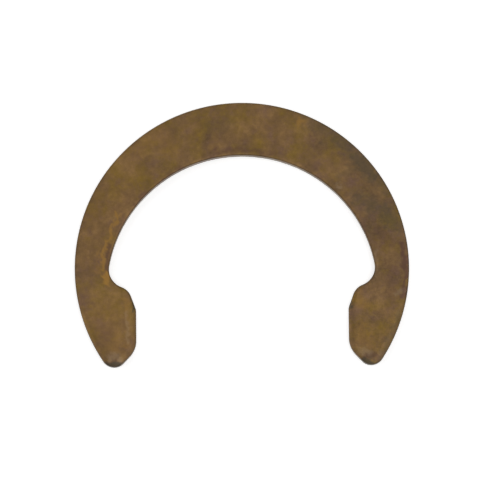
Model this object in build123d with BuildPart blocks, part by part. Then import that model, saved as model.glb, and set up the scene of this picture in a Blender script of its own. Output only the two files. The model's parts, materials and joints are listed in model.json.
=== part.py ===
from build123d import *

import os
from math import atan2, cos, radians, sin, sqrt, tan

# A flat C-shaped retaining clip, blanked in one stroke from spring-steel strip. It snaps
# sideways into a shaft's groove and holds at three places: the middle of the arch and the
# two lugs beside the mouth. Millimetres. The origin is on the groove's axis at the clip's
# underside, +Y runs to the crown of the arch and +Z through the strip.

# The groove that the clip grips
groove_radius = 12.25  # floor of the groove, which the crown and both lugs touch
grip_angle = 222.4  # from one lug's grip corner, over the crown, to the other's

# The arch is widest at the crown and tapers to the roots of the lugs
crown_width = 5.75

# The lugs, from the arch's root round to the point
root_radius = 2.1
shoulder_flat = 0.10  # what is straight between the root's hollow and the shoulder's round
shoulder_slope = 22.0  # the lug's upper edge falls this steeply toward the mouth
shoulder_radius = 1.7
grip_length = 2.30
grip_lean = 20.0  # the grip edge leans this far outward from the direction of the crown
mouth_face = 4.30
heel_radius = 2.5
point_slope = 46.0  # the lug's lower edge falls this steeply to the point
point_radius = 1.4

# The strip and its blanked edge
thickness = 1.6
roll_width = 0.35  # the upper edge is drawn down as the punch enters, wider than deep
roll_depth = 0.13
roll_blend = 1.2  # radius between the face and the roll
roll_nose = 0.15  # radius between the roll and the wall
burr_break = 0.10  # the lower edge after tumbling
corner_room = 1.25  # how far the grip's round is kept over what the rolled edge takes up
height_margin = 0.01  # to either side, where edges are picked out by their height

outer_radius = groove_radius + crown_width
roll_slope = atan2(roll_depth, roll_width)
grip_radius = corner_room * (roll_width + roll_blend * tan(roll_slope / 2))

# Corners of the right-hand lug before they are rounded, and its edges' directions
lug_angle = radians(90 - grip_angle / 2)
grip_corner = Vector(cos(lug_angle), sin(lug_angle)) * groove_radius
up_grip = Vector(sin(radians(grip_lean)), cos(radians(grip_lean)))
up_shoulder = Vector(cos(radians(shoulder_slope)), sin(radians(shoulder_slope)))
down_point = Vector(cos(radians(point_slope)), -sin(radians(point_slope)))
shoulder_corner = grip_corner + up_grip * grip_length
heel_corner = grip_corner - Vector(0, mouth_face)

# The root's hollow rises from the shoulder, and the arch's inner circle runs on from it
# to touch the groove at the crown: its centre is set toward the mouth until both are met
shoulder_turn = radians(90 - grip_lean - shoulder_slope)
rounded_off = shoulder_radius * tan(shoulder_turn / 2)
hollow_start = shoulder_corner + up_shoulder * (rounded_off + shoulder_flat)
hollow_center = hollow_start + Vector(-up_shoulder.Y, up_shoulder.X) * root_radius
crown_reach = groove_radius - root_radius
arch_offset = (hollow_center.length**2 - crown_reach**2) / (2 * (crown_reach - hollow_center.Y))
arch_center = Vector(0, -arch_offset)
inner_radius = groove_radius + arch_offset

# Straight edges are drawn on past the blank, so that they cut it through
reach = 2 * outer_radius
root_end = shoulder_corner + up_shoulder * reach
point_end = heel_corner + down_point * reach


def mirrored(corners):
    """The corners of the right-hand side, then those of the left in return order."""
    return corners + [Vector(-c.X, c.Y) for c in reversed(corners)]


# The inside of the arch ends at the shoulders, which close it to the width of the mouth
with BuildSketch() as arch_space:
    with Locations(arch_center):
        Circle(inner_radius)
    with BuildLine():
        top = Vector(root_end.X, root_end.Y + reach)
        Polyline(*mirrored([shoulder_corner, root_end, top]), close=True)
    make_face(mode=Mode.INTERSECT)

# The mouth, from the shoulders out between the two points
with BuildSketch() as mouth_space:
    with BuildLine():
        Polyline(*mirrored([shoulder_corner, grip_corner, heel_corner, point_end]), close=True)
    make_face()


def pair_at(corner):
    """The outline's corner at this place, with its twin across the axis."""
    corners = blank.vertices()
    twin = Vector(-corner.X, corner.Y)
    return [corners.sort_by_distance(place)[0] for place in (corner, twin)]


def on_circle(center, radius, start, direction):
    """Where a line from start first leaves this circle."""
    from_center = start - center
    along = from_center.dot(direction)
    return start + direction * (sqrt(along**2 - from_center.dot(from_center) + radius**2) - along)


root_corner = on_circle(arch_center, inner_radius, shoulder_corner, up_shoulder)
point_corner = on_circle(Vector(0, 0), outer_radius, heel_corner, down_point)

with BuildSketch() as blank:
    Circle(outer_radius)
    add(arch_space.sketch, mode=Mode.SUBTRACT)
    add(mouth_space.sketch, mode=Mode.SUBTRACT)
    fillet(pair_at(root_corner), root_radius)
    fillet(pair_at(shoulder_corner), shoulder_radius)
    fillet(pair_at(grip_corner), grip_radius)
    fillet(pair_at(heel_corner), heel_radius)
    fillet(pair_at(point_corner), point_radius)

with BuildPart() as retaining_clip:
    add(blank.sketch)
    extrude(amount=thickness)
    face = retaining_clip.faces().sort_by(Axis.Z)[-1]
    chamfer(face.outer_wire().edges(), roll_width, roll_depth, reference=face)
    fillet(retaining_clip.edges().group_by(Axis.Z)[-1], roll_blend)
    nose_height = thickness - roll_depth
    heights = (nose_height - height_margin, nose_height + height_margin)
    fillet(retaining_clip.edges().filter_by_position(Axis.Z, *heights), roll_nose)
    chamfer(retaining_clip.edges().group_by(Axis.Z)[0], burr_break)

retaining_clip.part.label = "retaining_clip"

os.makedirs("parts", exist_ok=True)
export_step(retaining_clip.part, "parts/retaining_clip.step")
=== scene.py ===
import json
import math

import bpy
import numpy as np
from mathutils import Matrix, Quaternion, Vector, noise


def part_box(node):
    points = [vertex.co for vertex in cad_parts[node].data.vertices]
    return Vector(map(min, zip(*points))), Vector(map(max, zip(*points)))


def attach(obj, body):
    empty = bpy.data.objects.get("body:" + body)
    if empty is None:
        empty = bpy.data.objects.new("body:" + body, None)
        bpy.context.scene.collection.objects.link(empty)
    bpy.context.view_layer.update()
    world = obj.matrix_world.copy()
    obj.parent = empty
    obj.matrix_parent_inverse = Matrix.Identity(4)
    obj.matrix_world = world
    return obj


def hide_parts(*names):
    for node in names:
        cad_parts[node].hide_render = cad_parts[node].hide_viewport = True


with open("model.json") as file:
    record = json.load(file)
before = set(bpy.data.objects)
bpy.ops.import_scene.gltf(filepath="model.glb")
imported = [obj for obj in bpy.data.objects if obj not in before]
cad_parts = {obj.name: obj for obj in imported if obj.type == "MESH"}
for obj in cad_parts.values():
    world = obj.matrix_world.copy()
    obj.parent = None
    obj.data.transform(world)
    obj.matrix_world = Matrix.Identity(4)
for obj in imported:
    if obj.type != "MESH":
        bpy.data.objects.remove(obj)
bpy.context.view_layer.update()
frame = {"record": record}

# ---------------------------------------------------------------------------------------
# The clip: one flat C of spring steel, blanked in a single stroke from strip, hardened,
# tumbled and browned in oil. Nothing fixes it but its own spring: the crown and the two
# lugs press on the floor of a shaft's groove.
# ---------------------------------------------------------------------------------------
MM = 0.001

clip_low, clip_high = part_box("retaining_clip")
outer_radius = (clip_high.x - clip_low.x) / 2 / MM
thickness = (clip_high.z - clip_low.z) / MM
grip = next(m for m in frame["record"]["mounts"] if m["name"] == "groove_grip")
groove_radius = grip["dims"]["r_mm"]

# The lug, from the arch's root round to the point, in millimetres and degrees
LUG_ANGLE = -21.2
ROOT_RADIUS = 2.1
SHOULDER_FLAT = 0.10
SHOULDER_SLOPE = 22
SHOULDER_RADIUS = 1.7
GRIP_LENGTH = 2.30
GRIP_LEAN = 20
GRIP_RADIUS = 0.80
MOUTH_FACE = 4.30
HEEL_RADIUS = 2.5
POINT_SLOPE = 46
POINT_RADIUS = 1.4


def toward(degrees):
    """A step of one in this direction, turned from +X to +Y."""
    return np.array([math.cos(math.radians(degrees)), math.sin(math.radians(degrees))])


def taken_up(radius, degrees):
    """How much of a straight edge a round of this radius takes up at a corner."""
    return radius * math.tan(math.radians(degrees / 2))


# Corners of the right-hand lug before they are rounded
up_grip = toward(90 - GRIP_LEAN)
up_shoulder = toward(SHOULDER_SLOPE)
down_point = toward(-POINT_SLOPE)
grip_corner = groove_radius * toward(LUG_ANGLE)
shoulder_corner = grip_corner + GRIP_LENGTH * up_grip
heel_corner = grip_corner - np.array([0, MOUTH_FACE])

# The root's hollow rises from the shoulder, and the arch's inner circle runs on from it
# to touch the groove at the crown
off_shoulder = toward(SHOULDER_SLOPE + 90)
off_grip = toward(180 - GRIP_LEAN)
into_point = toward(90 - POINT_SLOPE)
shoulder_taken = taken_up(SHOULDER_RADIUS, 90 - GRIP_LEAN - SHOULDER_SLOPE)
shoulder_start = shoulder_corner + shoulder_taken * up_shoulder
hollow_center = shoulder_start + SHOULDER_FLAT * up_shoulder + ROOT_RADIUS * off_shoulder
crown_reach = groove_radius - ROOT_RADIUS
crown_gap = crown_reach - hollow_center[1]
arch_offset = (hollow_center @ hollow_center - crown_reach**2) / 2 / crown_gap
arch_center = np.array([0, -arch_offset])
arch_to_hollow = hollow_center - arch_center
hollow_angle = math.degrees(math.atan2(arch_to_hollow[1], arch_to_hollow[0]))

# The point's round touches the lug's lower edge and, from inside, the clip's outer circle
shoulder_center = shoulder_start - SHOULDER_RADIUS * off_shoulder
grip_center = grip_corner + taken_up(GRIP_RADIUS, GRIP_LEAN) * up_grip - GRIP_RADIUS * off_grip
heel_center = heel_corner + [HEEL_RADIUS, taken_up(HEEL_RADIUS, 90 - POINT_SLOPE)]
point_line = heel_corner + POINT_RADIUS * into_point
along = point_line @ down_point
within = (outer_radius - POINT_RADIUS) ** 2 - point_line @ point_line
point_center = point_line + (math.sqrt(along**2 + within) - along) * down_point
point_angle = math.degrees(math.atan2(point_center[1], point_center[0]))


ARC_STEP = 0.02


def arc(center, radius, start, end):
    """Points of a round with the way out of the metal at each: a hollow runs clockwise."""
    count = max(3, int(abs(math.radians(end - start)) * radius / ARC_STEP))
    ray = np.array([toward(a) for a in np.linspace(start, end, count)])
    return np.hstack([center + radius * ray, ray if end > start else -ray])


arch = arc(arch_center, groove_radius + arch_offset, 90, hollow_angle)
hollow = arc(hollow_center, ROOT_RADIUS, hollow_angle, SHOULDER_SLOPE - 90)
shoulder = arc(shoulder_center, SHOULDER_RADIUS, SHOULDER_SLOPE + 90, 180 - GRIP_LEAN)
grip_round = arc(grip_center, GRIP_RADIUS, 180 - GRIP_LEAN, 180)
heel = arc(heel_center, HEEL_RADIUS, 180, 270 - POINT_SLOPE)
point = arc(point_center, POINT_RADIUS, 270 - POINT_SLOPE, 360 + point_angle)
outer = arc(np.zeros(2), outer_radius, point_angle, 90)


def run_length(line):
    """Distance run along a line of points, from its first."""
    steps = np.hypot(*np.diff(line[:, :2], axis=0).T)
    return np.concatenate([[0], np.cumsum(steps)])


def at_lengths(line, lengths):
    """The line's points and directions at these distances along it."""
    run = run_length(line)
    found = np.array([np.interp(lengths, run, column) for column in line.T]).T
    found[:, 2:] /= np.hypot(*found[:, 2:].T)[:, None]
    return found


# Rows run from the crown to the point, each from a place on the inner edge to the place
# across from it on the outer circle. These are the outer places of the crown, the ends of
# the arch, hollow, shoulder, grip and heel, and the point, in degrees
across = np.array([90, 1.5, -6, -10, -16, -30, point_angle])
ROWS_A_SIDE = 250
COLUMNS = 26

inner_parts = [arch, hollow, shoulder, grip_round, heel, point[:1]]
inner = np.vstack(inner_parts)
part_ends = np.cumsum([len(part) for part in inner_parts]) - 1
inner_places = np.append(0, run_length(inner)[part_ends])
outer_places = np.radians(90 - across) * outer_radius
middle_places = (inner_places + outer_places) / 2
spread = np.linspace(0, middle_places[-1], ROWS_A_SIDE + 1)
inner_side = at_lengths(inner, np.interp(spread, middle_places, inner_places))
outer_side = at_lengths(outer[::-1], np.interp(spread, middle_places, outer_places))
point_side = at_lengths(point, np.linspace(0, run_length(point)[-1], COLUMNS + 1))[1:-1]


def other_hand(side):
    """The same edge on the clip's left-hand side, run the other way."""
    return (side * [-1, 1, -1, 1])[::-1]


# The outline once round: inner edge left to right, right point, outer edge, left point
right_to_crown = outer_side[::-1]
inner_line = np.vstack([other_hand(inner_side), inner_side[1:]])
outer_line = np.vstack([right_to_crown, other_hand(right_to_crown)[1:]])
outline = np.vstack([inner_line, point_side, outer_line, other_hand(point_side)])
rows = len(inner_line) - 1
around = len(outline)

# The upper edge is drawn in by the punch: lightly along the arch, and more round the lugs,
# growing between two places on Y. The lower edge has only the small break of tumbling
ARCH_ROLL = {"width": 0.20, "depth": 0.045, "blend": 1.0}
LUG_ROLL = {"width": 0.42, "depth": 0.17, "blend": 1.9}
ROLL_GROWS_FROM = -1.5
ROLL_GROWN_AT = -5.5
ROLL_NOSE = 0.12
BURR_BREAK = 0.10
ROUND_STEPS = 6
WALL_STEPS = 13


def edge_section(width, depth, blend):
    """Inset and height of the edge: blend from the face, roll, nose, wall and break."""
    slope = math.degrees(math.atan2(depth, width))
    nose_height = thickness - depth - taken_up(ROLL_NOSE, 90 - slope)
    blend_rays = np.array([toward(90 - a) for a in np.linspace(0, slope, ROUND_STEPS)])
    nose_rays = np.array([toward(a) for a in np.linspace(90 - slope, 0, ROUND_STEPS)])
    reach = width + taken_up(blend, slope)
    rolled = [reach, thickness] + blend * (blend_rays * [-1, 1] - [0, 1])
    nosed = [ROLL_NOSE, nose_height] + ROLL_NOSE * nose_rays * [-1, 1]
    wall = [(0, z) for z in np.linspace(nose_height, BURR_BREAK, WALL_STEPS)[1:]]
    return np.vstack([rolled, nosed, wall, [(BURR_BREAK, 0)]])


heavy = np.clip((ROLL_GROWS_FROM - outline[:, 1]) / (ROLL_GROWS_FROM - ROLL_GROWN_AT), 0, 1)
heavy = (heavy * heavy * (3 - 2 * heavy))[None, :, None]
arch_section, lug_section = edge_section(**ARCH_ROLL), edge_section(**LUG_ROLL)
sections = (1 - heavy) * arch_section[:, None] + heavy * lug_section[:, None]
insets, heights = sections[..., 0], sections[..., 1]
rings = np.empty(sections.shape[:2] + (3,))
rings[..., :2] = outline[None, :, :2] - outline[None, :, 2:] * insets[..., None]
rings[..., 2] = heights


GRAIN_FADE = 0.8
GRAIN_FINER = 2.0
GRAIN_LAYERS = 4


def grain(spots, scale):
    """Cloudy noise from 0 to 1 at each spot, with blotches about 1 / scale across."""
    values = [noise.fractal(Vector(p) * scale, GRAIN_FADE, GRAIN_FINER, GRAIN_LAYERS)
              for p in spots.reshape(-1, 3)]
    return np.clip(np.array(values).reshape(spots.shape[:-1]) / 2 + 0.5, 0, 1)


# The punch burnishes the upper wall, leaving fine lines up it, and tears the rest, which
# draws in a little below a ragged border
BURNISHED = 0.55
BURNISH_LINES = 0.005
BURNISH_GRAIN = np.array([9, 9, 0.6])
TORN_DRAFT = 0.045
TORN_ROUGHNESS = 0.03
TORN_GRAIN = 5
BORDER_WANDERS = 0.25
BORDER_GRAIN = 0.8

torn_below = thickness * (1 - BURNISHED)
wander = BORDER_WANDERS * (grain(rings * [1, 1, 0], BORDER_GRAIN) - 0.5)
torn = np.clip((torn_below * (1 + wander) - heights) / torn_below, 0, 1)
wall = np.clip(1 - insets / BURR_BREAK, 0, 1)
drawn_in = TORN_DRAFT * torn + TORN_ROUGHNESS * np.sqrt(torn) * grain(rings, TORN_GRAIN)
drawn_in += BURNISH_LINES * grain(rings * BURNISH_GRAIN, 1)
rings[..., :2] -= outline[None, :, 2:] * (wall * drawn_in)[..., None]

# The strip's faces are never quite flat: rolling and tumbling leave them gently uneven
UNEVEN = 0.012
UNEVEN_GRAIN = 0.9
SIDES_APART = 7
RIM_ROWS = 4
POINT_ROWS = 30


def face_grid(ring, side):
    """Fills a ring with rows from its inner to its outer edge; end rows follow the points."""
    right_end, outer_end = rows + COLUMNS, 2 * rows + COLUMNS
    inner_edge, outer_edge = ring[:rows + 1], ring[right_end:outer_end + 1][::-1]
    right, left = ring[rows:right_end + 1], np.vstack([ring[outer_end:], ring[:1]])[::-1]
    v = np.linspace(0, 1, COLUMNS + 1)[None, :, None]
    grid = inner_edge[:, None] * (1 - v) + outer_edge[:, None] * v
    fade = np.clip(1 - np.arange(rows + 1) / POINT_ROWS, 0, 1)[:, None, None] ** 2
    grid = grid + fade * (left - grid[0]) + fade[::-1] * (right - grid[-1])
    i, j = np.ogrid[:rows + 1, :COLUMNS + 1]
    from_rim = np.minimum(np.minimum(j, COLUMNS - j), np.minimum(i, rows - i)) / RIM_ROWS
    hollows = UNEVEN * grain(grid + [0, 0, SIDES_APART * side], UNEVEN_GRAIN)
    grid[..., 2] -= side * hollows * np.minimum(from_rim, 1)
    return grid


def numbered(first_rim, first_inside):
    """The face grid's point numbers: its rim belongs to a ring, the inside is its own."""
    numbers = np.zeros((rows + 1, COLUMNS + 1), int)
    inside_count = (rows - 1) * (COLUMNS - 1)
    numbers[1:-1, 1:-1] = first_inside + np.arange(inside_count).reshape(rows - 1, -1)
    rim = first_rim + np.arange(around)
    numbers[:, 0] = rim[:rows + 1]
    numbers[-1, :] = rim[rows:rows + COLUMNS + 1]
    numbers[:, -1] = rim[rows + COLUMNS:2 * rows + COLUMNS + 1][::-1]
    numbers[0, 1:] = rim[2 * rows + COLUMNS:][::-1]
    return numbers


def squares(numbers):
    """Four-cornered faces of a grid of point numbers."""
    corners = [numbers[:-1, :-1], numbers[1:, :-1], numbers[1:, 1:], numbers[:-1, 1:]]
    return np.stack([c.ravel() for c in corners], axis=1)


upper_face, lower_face = face_grid(rings[0], 1), face_grid(rings[-1], -1)
upper_inside = rings.shape[0] * around
lower_inside = upper_inside + (rows - 1) * (COLUMNS - 1)
upper_numbers = numbered(0, upper_inside)
lower_numbers = numbered(upper_inside - around, lower_inside)
ring_numbers = np.arange(upper_inside).reshape(-1, around)
ring_numbers = np.hstack([ring_numbers, ring_numbers[:, :1]])
places = np.vstack([rings.reshape(-1, 3), upper_face[1:-1, 1:-1].reshape(-1, 3),
                    lower_face[1:-1, 1:-1].reshape(-1, 3)])
faces = np.vstack([squares(upper_numbers), squares(lower_numbers)[:, ::-1], squares(ring_numbers)])

clip_mesh = bpy.data.meshes.new("spring_clip")
clip_mesh.from_pydata((places * MM).tolist(), [], faces.tolist())
clip_mesh.polygons.foreach_set("use_smooth", [True] * len(clip_mesh.polygons))
clip = bpy.data.objects.new("spring_clip", clip_mesh)
bpy.context.scene.collection.objects.link(clip)

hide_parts("retaining_clip")
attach(clip, "root")

# Stains and tints of the heat treatment and of use, with painted shade and painted highlights
# along some edges among them. Each is a few smears with ragged sides: a path in millimetres, a
# width and a strength
SOOT_AND_SHADE = [
    ([(7.6, 16.1), (9.6, 14.6), (11.8, 12.7)], 1.0, 0.34),
    ([(10.2, 13.9), (11.6, 12.9)], 0.7, 0.45),
    ([(12.4, 12.0), (13.2, 11.0), (14.1, 9.9)], 0.85, 0.55),
    ([(12.2, 10.6), (10.7, 9.7)], 0.3, 0.22),
    ([(12.6, 7.3), (15.4, 6.0), (16.5, 4.6)], 1.0, 0.42),
    ([(15.2, 6.4), (16.0, 5.7)], 0.6, 0.5),
    ([(15.0, 9.1), (15.7, 8.2)], 0.7, 0.3),
    ([(-11.8, -3.9), (-11.6, -4.6)], 0.2, 0.9),
    ([(11.6, -3.9), (11.5, -4.5)], 0.2, 0.7),
    # painted shade: dark bands along the down-facing lower edges of the two points
    ([(-14.4, -10.45), (-13.1, -10.55)], 0.42, 0.8),
    ([(12.9, -10.45), (14.3, -10.6)], 0.42, 0.72),
    # painted shade: a dark band just inside the right-facing outer edge of the right lug
    ([(16.9, -5.2), (15.7, -8.1), (14.8, -9.9)], 0.45, 0.3),
    ([(-3.0, 15.2), (-1.2, 15.9)], 0.9, 0.15),
]
STRAW_AND_HIGHLIGHT = [
    # painted highlight: bright lines just inside the right-facing inner edge at the left root
    ([(-13.3, 5.9), (-14.3, 3.0), (-14.88, 1.2), (-14.9, -0.3)], 0.2, 0.75),
    ([(-15.1, 2.4), (-15.4, 0.9), (-15.35, -0.4)], 0.18, 0.35),
    ([(-14.7, -0.6), (-14.4, -1.4)], 0.32, 1.0),
    # painted highlight: a bright line just inside the right-facing mouth edge of the left lug
    ([(-12.6, -3.3), (-12.3, -5.6), (-12.4, -8.2)], 0.28, 0.42),
    ([(6.4, 15.9), (6.9, 15.7)], 0.4, 0.75),
    ([(-11.8, 12.6), (-9.2, 14.6), (-7.6, 13.2)], 1.2, 0.22),
    ([(-16.2, 5.5), (-15.2, 8.0)], 1.0, 0.18),
    ([(12.3, -3.2), (13.0, -4.0)], 0.7, 0.3),
    ([(12.6, -7.0), (13.4, -8.4)], 0.9, 0.26),
    ([(-13.2, -7.6), (-13.8, -8.8)], 1.0, 0.26),
    ([(-2.6, 14.9), (-3.0, 13.2)], 0.6, 0.2),
    ([(-14.6, -5.0), (-13.6, -8.0)], 2.6, 0.15),
    ([(-16.5, 2.0), (-12.5, 11.0)], 2.4, 0.11),
    ([(-4.0, 15.6), (3.5, 15.4)], 2.4, 0.08),
]
RUSSET_AND_SHADE = [
    # painted shade: a dark band just inside the right-facing outer edge
    ([(17.42, 2.4), (17.52, 0.2), (17.3, -3.4)], 0.26, 0.75),
    ([(-2.8, 12.6), (0.5, 12.75), (3.7, 12.4)], 0.3, 0.42),
    ([(-11.4, 7.0), (-7.6, 10.2), (-2.8, 11.9)], 0.3, 0.5),
    ([(-14.5, -6.9), (-15.2, -8.2)], 0.8, 0.25),
    ([(14.9, 3.6), (15.4, 2.6)], 0.9, 0.25),
    ([(-13.4, 6.4), (-12.6, 7.4)], 0.5, 0.3),
    # painted shade: dark bands just above the down-facing lower edges of the two points
    ([(14.2, -9.7), (12.9, -10.1)], 0.4, 0.5),
    ([(-14.4, -10.1), (-13.0, -10.3)], 0.4, 0.45),
    # painted shade: the dark band between the left root's right-facing inner edge and the painted
    # highlight inside it
    ([(-14.2, 2.6), (-14.48, 0.8), (-14.4, -0.4)], 0.18, 0.55),
    ([(16.0, -0.5), (16.2, -3.0)], 0.8, 0.22),
]
BARE_AND_HIGHLIGHT = [
    # painted highlights: light spots just above the lower edges of the two points
    ([(-14.1, -9.5), (-13.4, -9.6)], 0.45, 0.32),
    ([(12.9, -9.3), (13.6, -9.4)], 0.45, 0.27),
    ([(10.5, 8.9), (10.6, 8.8)], 0.25, 0.3),
    # painted highlights: a light line inside the left lug's right-facing mouth edge, and a lighter
    # line on the left-facing inner edge at the right root
    ([(-12.4, -4.6), (-12.35, -7.9)], 0.2, 0.3),
    ([(14.4, 1.8), (14.3, 0.3), (14.35, -1.2)], 0.15, 0.2),
    ([(16.8, -2.9), (17.1, -2.6)], 0.25, 0.25),
]
SMEAR_WANDERS = 0.9
WANDER_GRAIN = 1.1
FRAY_GRAIN = 3.2
SMEAR_CORE = 1.4

# Smears fade down the wall, between these shares of the thickness
STAIN_ENDS = 0.2
STAIN_FULL = 0.6

upward = np.clip((places[:, 2] / thickness - STAIN_ENDS) / (STAIN_FULL - STAIN_ENDS), 0, 1)
wanders = [grain(places + [apart, 0, 0], WANDER_GRAIN) for apart in (0, 40)]
drift = np.stack(wanders, axis=1) - 0.5
fray = grain(places + [80, 0, 0], FRAY_GRAIN) - 0.5


def smeared(smears):
    """How strongly each point is stained, or painted with shade or highlight, by these smears."""
    strength = np.zeros(len(places))
    spots = places[:, :2] + SMEAR_WANDERS * drift
    for path, width, weight in smears:
        for start, end in zip(np.array(path[:-1]), np.array(path[1:])):
            span = end - start
            run = np.clip((spots - start) @ span / (span @ span), 0, 1)
            off = np.hypot(*(spots - start - run[:, None] * span).T) / width
            strength = np.maximum(strength, weight * np.clip(SMEAR_CORE - off + fray, 0, 1))
    return strength * upward


def paint(name, strength):
    """Keeps a strength from 0 to 1 at every point of the clip for its steel to read."""
    layer = clip_mesh.attributes.new(name, "FLOAT", "POINT")
    layer.data.foreach_set("value", np.clip(strength, 0, 1).astype(np.float32))


paint("soot_and_shade", smeared(SOOT_AND_SHADE))
paint("straw_and_highlight", smeared(STRAW_AND_HIGHLIGHT))
paint("russet_and_shade", smeared(RUSSET_AND_SHADE))
paint("bare_and_highlight", smeared(BARE_AND_HIGHLIGHT))

ring_walls = np.concatenate([wall.ravel(), np.zeros(len(places) - wall.size)])
ring_torn = np.concatenate([(torn * wall).ravel(), np.zeros(len(places) - wall.size)])
paint("wall", ring_walls)
paint("torn", ring_torn)

# Browned steel: a thin brown-black oxide over bright metal, clouded by the oil it was
# quenched in, with fine tumbling dents
browned = bpy.data.materials.new("oil_browned_steel")
browned.use_nodes = True
nodes = browned.node_tree.nodes
links = browned.node_tree.links
steel = nodes["Principled BSDF"]
OXIDE_METALLIC = 0.6
OXIDE_SPECULAR = 0.25
steel.inputs["Metallic"].default_value = OXIDE_METALLIC
steel.inputs["Specular IOR Level"].default_value = OXIDE_SPECULAR
coordinates = nodes.new("ShaderNodeTexCoord")


def clouds(size_mm, detail, roughness):
    """Noise with blotches of about this size."""
    cloud = nodes.new("ShaderNodeTexNoise")
    cloud.inputs["Scale"].default_value = 1 / (size_mm * MM)
    cloud.inputs["Detail"].default_value = detail
    cloud.inputs["Roughness"].default_value = roughness
    links.new(coordinates.outputs["Object"], cloud.inputs["Vector"])
    return cloud.outputs["Fac"]


def ramp(source, stops):
    """Colours along a value, as pairs of place and colour."""
    colours = nodes.new("ShaderNodeValToRGB")
    elements = colours.color_ramp.elements
    for element, (place, colour) in zip(elements, (stops[0], stops[-1])):
        element.position, element.color = place, (*colour, 1)
    for place, colour in stops[1:-1]:
        elements.new(place).color = (*colour, 1)
    links.new(source, colours.inputs["Fac"])
    return colours.outputs["Color"]


def spread_to(source, low, high, to_low=0.0, to_high=1.0):
    """Stretches a value from one range to another, held at the ends."""
    stretch = nodes.new("ShaderNodeMapRange")
    limits = {"From Min": low, "From Max": high, "To Min": to_low, "To Max": to_high}
    for name, value in limits.items():
        stretch.inputs[name].default_value = value
    links.new(source, stretch.inputs["Value"])
    return stretch.outputs["Result"]


def painted(name):
    """A strength that was painted on the clip's points."""
    layer = nodes.new("ShaderNodeAttribute")
    layer.attribute_name = name
    return layer.outputs["Fac"]


def blended(amount, under, over, how="MIX"):
    """One colour over another by a varying amount; over may be a plain colour."""
    mix = nodes.new("ShaderNodeMix")
    mix.data_type = "RGBA"
    mix.blend_type = how
    links.new(amount, mix.inputs["Factor"])
    links.new(under, mix.inputs["A"])
    if isinstance(over, tuple):
        mix.inputs["B"].default_value = (*over, 1)
    else:
        links.new(over, mix.inputs["B"])
    return mix.outputs["Result"]


# The oxide's browns, its olive and plum clouds and its fine freckles
BROWN_DARK = (0.100, 0.061, 0.030)
BROWN = (0.176, 0.101, 0.042)
BROWN_LIGHT = (0.275, 0.160, 0.060)
OLIVE = (0.184, 0.112, 0.019)
PLUM = (0.154, 0.086, 0.060)
FRECKLE_DARK = (0.80, 0.80, 0.84)
FRECKLE_LIGHT = (1.20, 1.20, 1.15)
# The smears' colours, painted shade and painted highlights among them,
# and those of the burnished and the torn wall
RUSSET_AND_SHADE_BROWN = (0.098, 0.048, 0.034)
STRAW_AND_HIGHLIGHT_GOLD = (0.300, 0.160, 0.035)
SOOT_AND_SHADE_BLACK = (0.058, 0.052, 0.036)
WORN_STEEL_AND_HIGHLIGHT = (0.300, 0.220, 0.140)
BURNISHED_WALL = (0.170, 0.128, 0.084)
TORN_WALL = (0.088, 0.060, 0.034)

oxide_clouds = clouds(size_mm=3.2, detail=9, roughness=0.68)
brown = ramp(oxide_clouds, [(0.28, BROWN_DARK), (0.5, BROWN), (0.72, BROWN_LIGHT)])
olive_clouds = clouds(size_mm=2.6, detail=8, roughness=0.7)
colour = blended(spread_to(olive_clouds, low=0.46, high=0.66, to_high=0.85), brown, OLIVE)
plum_clouds = clouds(size_mm=2.0, detail=8, roughness=0.7)
colour = blended(spread_to(plum_clouds, low=0.5, high=0.7, to_high=0.8), colour, PLUM)
fine_clouds = clouds(size_mm=0.45, detail=6, roughness=0.66)
freckles = ramp(fine_clouds, [(0.3, FRECKLE_DARK), (0.7, FRECKLE_LIGHT)])
broad_clouds = clouds(size_mm=9.0, detail=2, roughness=0.5)
freckled = spread_to(broad_clouds, low=0.3, high=0.7, to_low=0.7)
colour = blended(freckled, colour, freckles, "MULTIPLY")
# Painted shade and painted highlights along the edges come in with the russet, straw, bare and
# soot smears
colour = blended(painted("russet_and_shade"), colour, RUSSET_AND_SHADE_BROWN)
colour = blended(painted("straw_and_highlight"), colour, STRAW_AND_HIGHLIGHT_GOLD)
colour = blended(painted("bare_and_highlight"), colour, WORN_STEEL_AND_HIGHLIGHT)
burnished = spread_to(painted("wall"), low=0, high=1, to_high=0.5)
colour = blended(burnished, colour, BURNISHED_WALL)
broken = spread_to(painted("torn"), low=0, high=0.6, to_high=0.7)
colour = blended(broken, colour, TORN_WALL)
colour = blended(painted("soot_and_shade"), colour, SOOT_AND_SHADE_BLACK)
links.new(colour, steel.inputs["Base Color"])

SMOOTHEST = 0.36
ROUGHEST = 0.52
oil_clouds = clouds(size_mm=1.4, detail=6, roughness=0.6)
dulled = spread_to(oil_clouds, low=0.3, high=0.7, to_low=SMOOTHEST, to_high=ROUGHEST)
links.new(dulled, steel.inputs["Roughness"])

# Fine dents of the tumbling barrel, and the coarse break of the torn wall
DENT_DEPTH = 0.012
DENT_STRENGTH = 0.6
TEAR_DEPTH = 0.03
dents = nodes.new("ShaderNodeBump")
dents.inputs["Strength"].default_value = DENT_STRENGTH
dents.inputs["Distance"].default_value = DENT_DEPTH * MM
links.new(clouds(size_mm=0.22, detail=6, roughness=0.55), dents.inputs["Height"])
tearing = nodes.new("ShaderNodeBump")
tearing.inputs["Distance"].default_value = TEAR_DEPTH * MM
links.new(clouds(size_mm=0.09, detail=4, roughness=0.6), tearing.inputs["Height"])
links.new(painted("torn"), tearing.inputs["Strength"])
links.new(dents.outputs["Normal"], tearing.inputs["Normal"])
links.new(tearing.outputs["Normal"], steel.inputs["Normal"])
clip_mesh.materials.append(browned)

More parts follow.
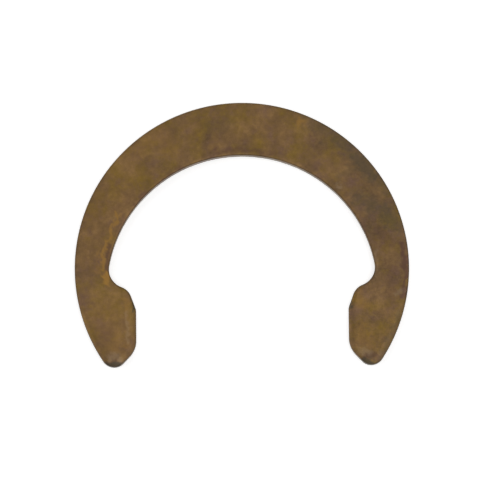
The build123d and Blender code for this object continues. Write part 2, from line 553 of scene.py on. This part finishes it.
# ---------------------------------------------------------------------------------------
# The table top: a board painted matt white, far wider than the clip, which lies loose on
# it. Seen straight on or mirrored in the steel it glows, so that it is plain white; its
# paint alone takes the clip's shadow.
# ---------------------------------------------------------------------------------------
HALF_TABLE = 2.0
UNDER_CLIP = -0.00002
BOARD_GLOW = 0.6
WHITE_PAINT = (0.7, 0.7, 0.7, 1)

corner_ways = [(-1, -1), (1, -1), (1, 1), (-1, 1)]
board_corners = [(HALF_TABLE * x, HALF_TABLE * y, UNDER_CLIP) for x, y in corner_ways]
table_mesh = bpy.data.meshes.new("table_top")
table_mesh.from_pydata(board_corners, [], [(0, 1, 2, 3)])
table = bpy.data.objects.new("table_top", table_mesh)
bpy.context.scene.collection.objects.link(table)

board = bpy.data.materials.new("white_board")
board.use_nodes = True
board_nodes = board.node_tree.nodes
board_links = board.node_tree.links
board_shader = board_nodes["Principled BSDF"]
board_shader.inputs["Base Color"].default_value = WHITE_PAINT
board_shader.inputs["Roughness"].default_value = 0.9
board_shader.inputs["Specular IOR Level"].default_value = 0.0
board_shader.inputs["Emission Color"].default_value = (1, 1, 1, 1)


def larger(one, other):
    """The larger of two values of the board's material."""
    either = board_nodes.new("ShaderNodeMath")
    either.operation = "MAXIMUM"
    board_links.new(one, either.inputs[0])
    board_links.new(other, either.inputs[1])
    return either.outputs[0]


light_path = board_nodes.new("ShaderNodeLightPath")
reflected = larger(light_path.outputs["Is Glossy Ray"], light_path.outputs["Is Transmission Ray"])
glow = board_nodes.new("ShaderNodeMath")
glow.operation = "MULTIPLY"
glow.inputs[1].default_value = BOARD_GLOW
board_links.new(larger(light_path.outputs["Is Camera Ray"], reflected), glow.inputs[0])
board_links.new(glow.outputs[0], board_shader.inputs["Emission Strength"])
table_mesh.materials.append(board)


# ---------------------------------------------------------------------------------------
# The studio: three square softboxes hang above, at the left and beyond the crown, in a
# room with pale walls. The camera stands over the clip, a little toward its mouth.
# ---------------------------------------------------------------------------------------
ROOM_LIGHT = 0.35


def softbox(name, place, size, watts):
    """A square lamp hung at this place, turned to the clip."""
    lamp_data = bpy.data.lights.new(name, "AREA")
    lamp_data.size = size
    lamp_data.energy = watts
    lamp = bpy.data.objects.new(name, lamp_data)
    lamp.location = place
    lamp.rotation_mode = "QUATERNION"
    lamp.rotation_quaternion = (-Vector(place)).to_track_quat("-Z", "Y")
    bpy.context.scene.collection.objects.link(lamp)


softbox("overhead", place=(0.20, -0.20, 0.80), size=0.60, watts=2.4)
softbox("left_fill", place=(-0.75, 0.05, 0.60), size=0.70, watts=2.2)
softbox("crown_fill", place=(0.0, 0.80, 0.60), size=0.70, watts=1.8)

studio = bpy.data.worlds.new("studio")
studio.use_nodes = True
room = studio.node_tree.nodes["Background"]
room.inputs["Color"].default_value = (1, 1, 1, 1)
room.inputs["Strength"].default_value = ROOM_LIGHT
bpy.context.scene.world = studio

CAMERA_TILT = 7.7
CAMERA_TURN = -0.585
CAMERA_DISTANCE = 0.430
LENS = 287.1
FILM_WIDTH = 36
NEAREST_SEEN = 0.01
looked_at = Vector((0.000892, 0.002006, 0.0008))
tilt = math.radians(CAMERA_TILT)
back = Vector((0, -math.sin(tilt), math.cos(tilt)))
camera_data = bpy.data.cameras.new("camera")
camera_data.lens = LENS
camera_data.sensor_width = FILM_WIDTH
camera_data.clip_start = NEAREST_SEEN
camera = bpy.data.objects.new("camera", camera_data)
camera.location = looked_at + CAMERA_DISTANCE * back
camera.rotation_mode = "QUATERNION"
turn = Quaternion((0, 0, 1), math.radians(CAMERA_TURN))
camera.rotation_quaternion = (-back).to_track_quat("-Z", "Y") @ turn
bpy.context.scene.collection.objects.link(camera)
bpy.context.scene.camera = camera
bpy.context.scene.view_settings.view_transform = "Standard"
